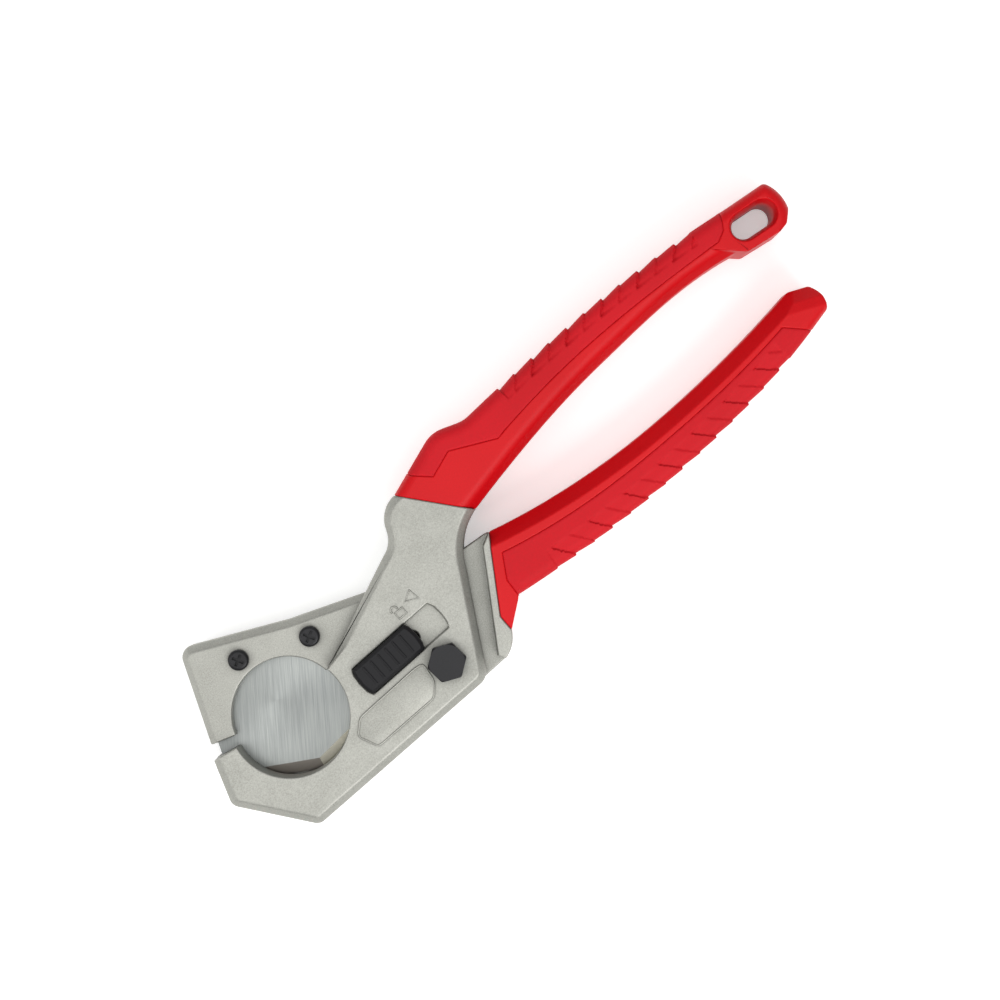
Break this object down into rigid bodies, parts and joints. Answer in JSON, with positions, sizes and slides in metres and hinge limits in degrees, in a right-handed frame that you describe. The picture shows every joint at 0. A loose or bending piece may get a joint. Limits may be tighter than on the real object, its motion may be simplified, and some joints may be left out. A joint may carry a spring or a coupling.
{
  "type": "pvc pipe cutter",
  "caption": "Plier-style plastic pipe cutter: fixed fork with a round cradle, swinging jaw with a V blade, slide lock and two overmoulded handles.",
  "frame": {"origin": "on the rest plane, under the middle of the bounding box of the shut tool, which lies on its rear face", "axes": "+X from the jaws to the handle ends, +Y towards the fixed handle, +Z out of the front face, along the pivot, towards the hexagon head"},
  "size_m": [0.2222, 0.067, 0.0235],
  "materials": {
    "cast_metal": "fine-grained die casting, satin",
    "black_steel": "black oxide",
    "plain_steel": "turned, plain",
    "spring_steel": "drawn wire",
    "bronze": "sintered, plain",
    "blade_steel": "brushed flat, ground bevels",
    "hard_red": "satin moulded",
    "soft_red": "matt soft grip",
    "black_plastic": "matt"
  },
  "bodies": {
    "frame": {"front_frame": "cast_metal", "rear_frame": "cast_metal", "frame_screws": "black_steel", "frame_dowels": "plain_steel", "pivot_bolt": "black_steel", "pivot_nut": "black_steel", "upper_handle_shell": "hard_red", "upper_handle_grip": "soft_red", "opening_spring": "spring_steel"},
    "arm": {"arm_casting": "cast_metal", "front_bush": "bronze", "rear_bush": "bronze", "blade": "blade_steel", "blade_screws": "black_steel", "lower_handle_shell": "hard_red", "lower_handle_grip": "soft_red"},
    "lock": {"lock_button": "black_plastic", "lock_pin": "plain_steel", "lock_retainer": "plain_steel"}
  },
  "joints": [
    {"name": "jaw_pivot", "type": "hinge", "parent": "frame", "child": "arm", "pos_m": [-0.0431, -0.02104, 0.01], "axis": [0, 0, -1], "range_deg": [0, 35], "deforming": ["opening_spring"]},
    {"name": "lock_slide", "type": "slide", "parent": "frame", "child": "lock", "axis": [0.9956, -0.0941, 0], "range_m": [0, 0.0085]}
  ]
}
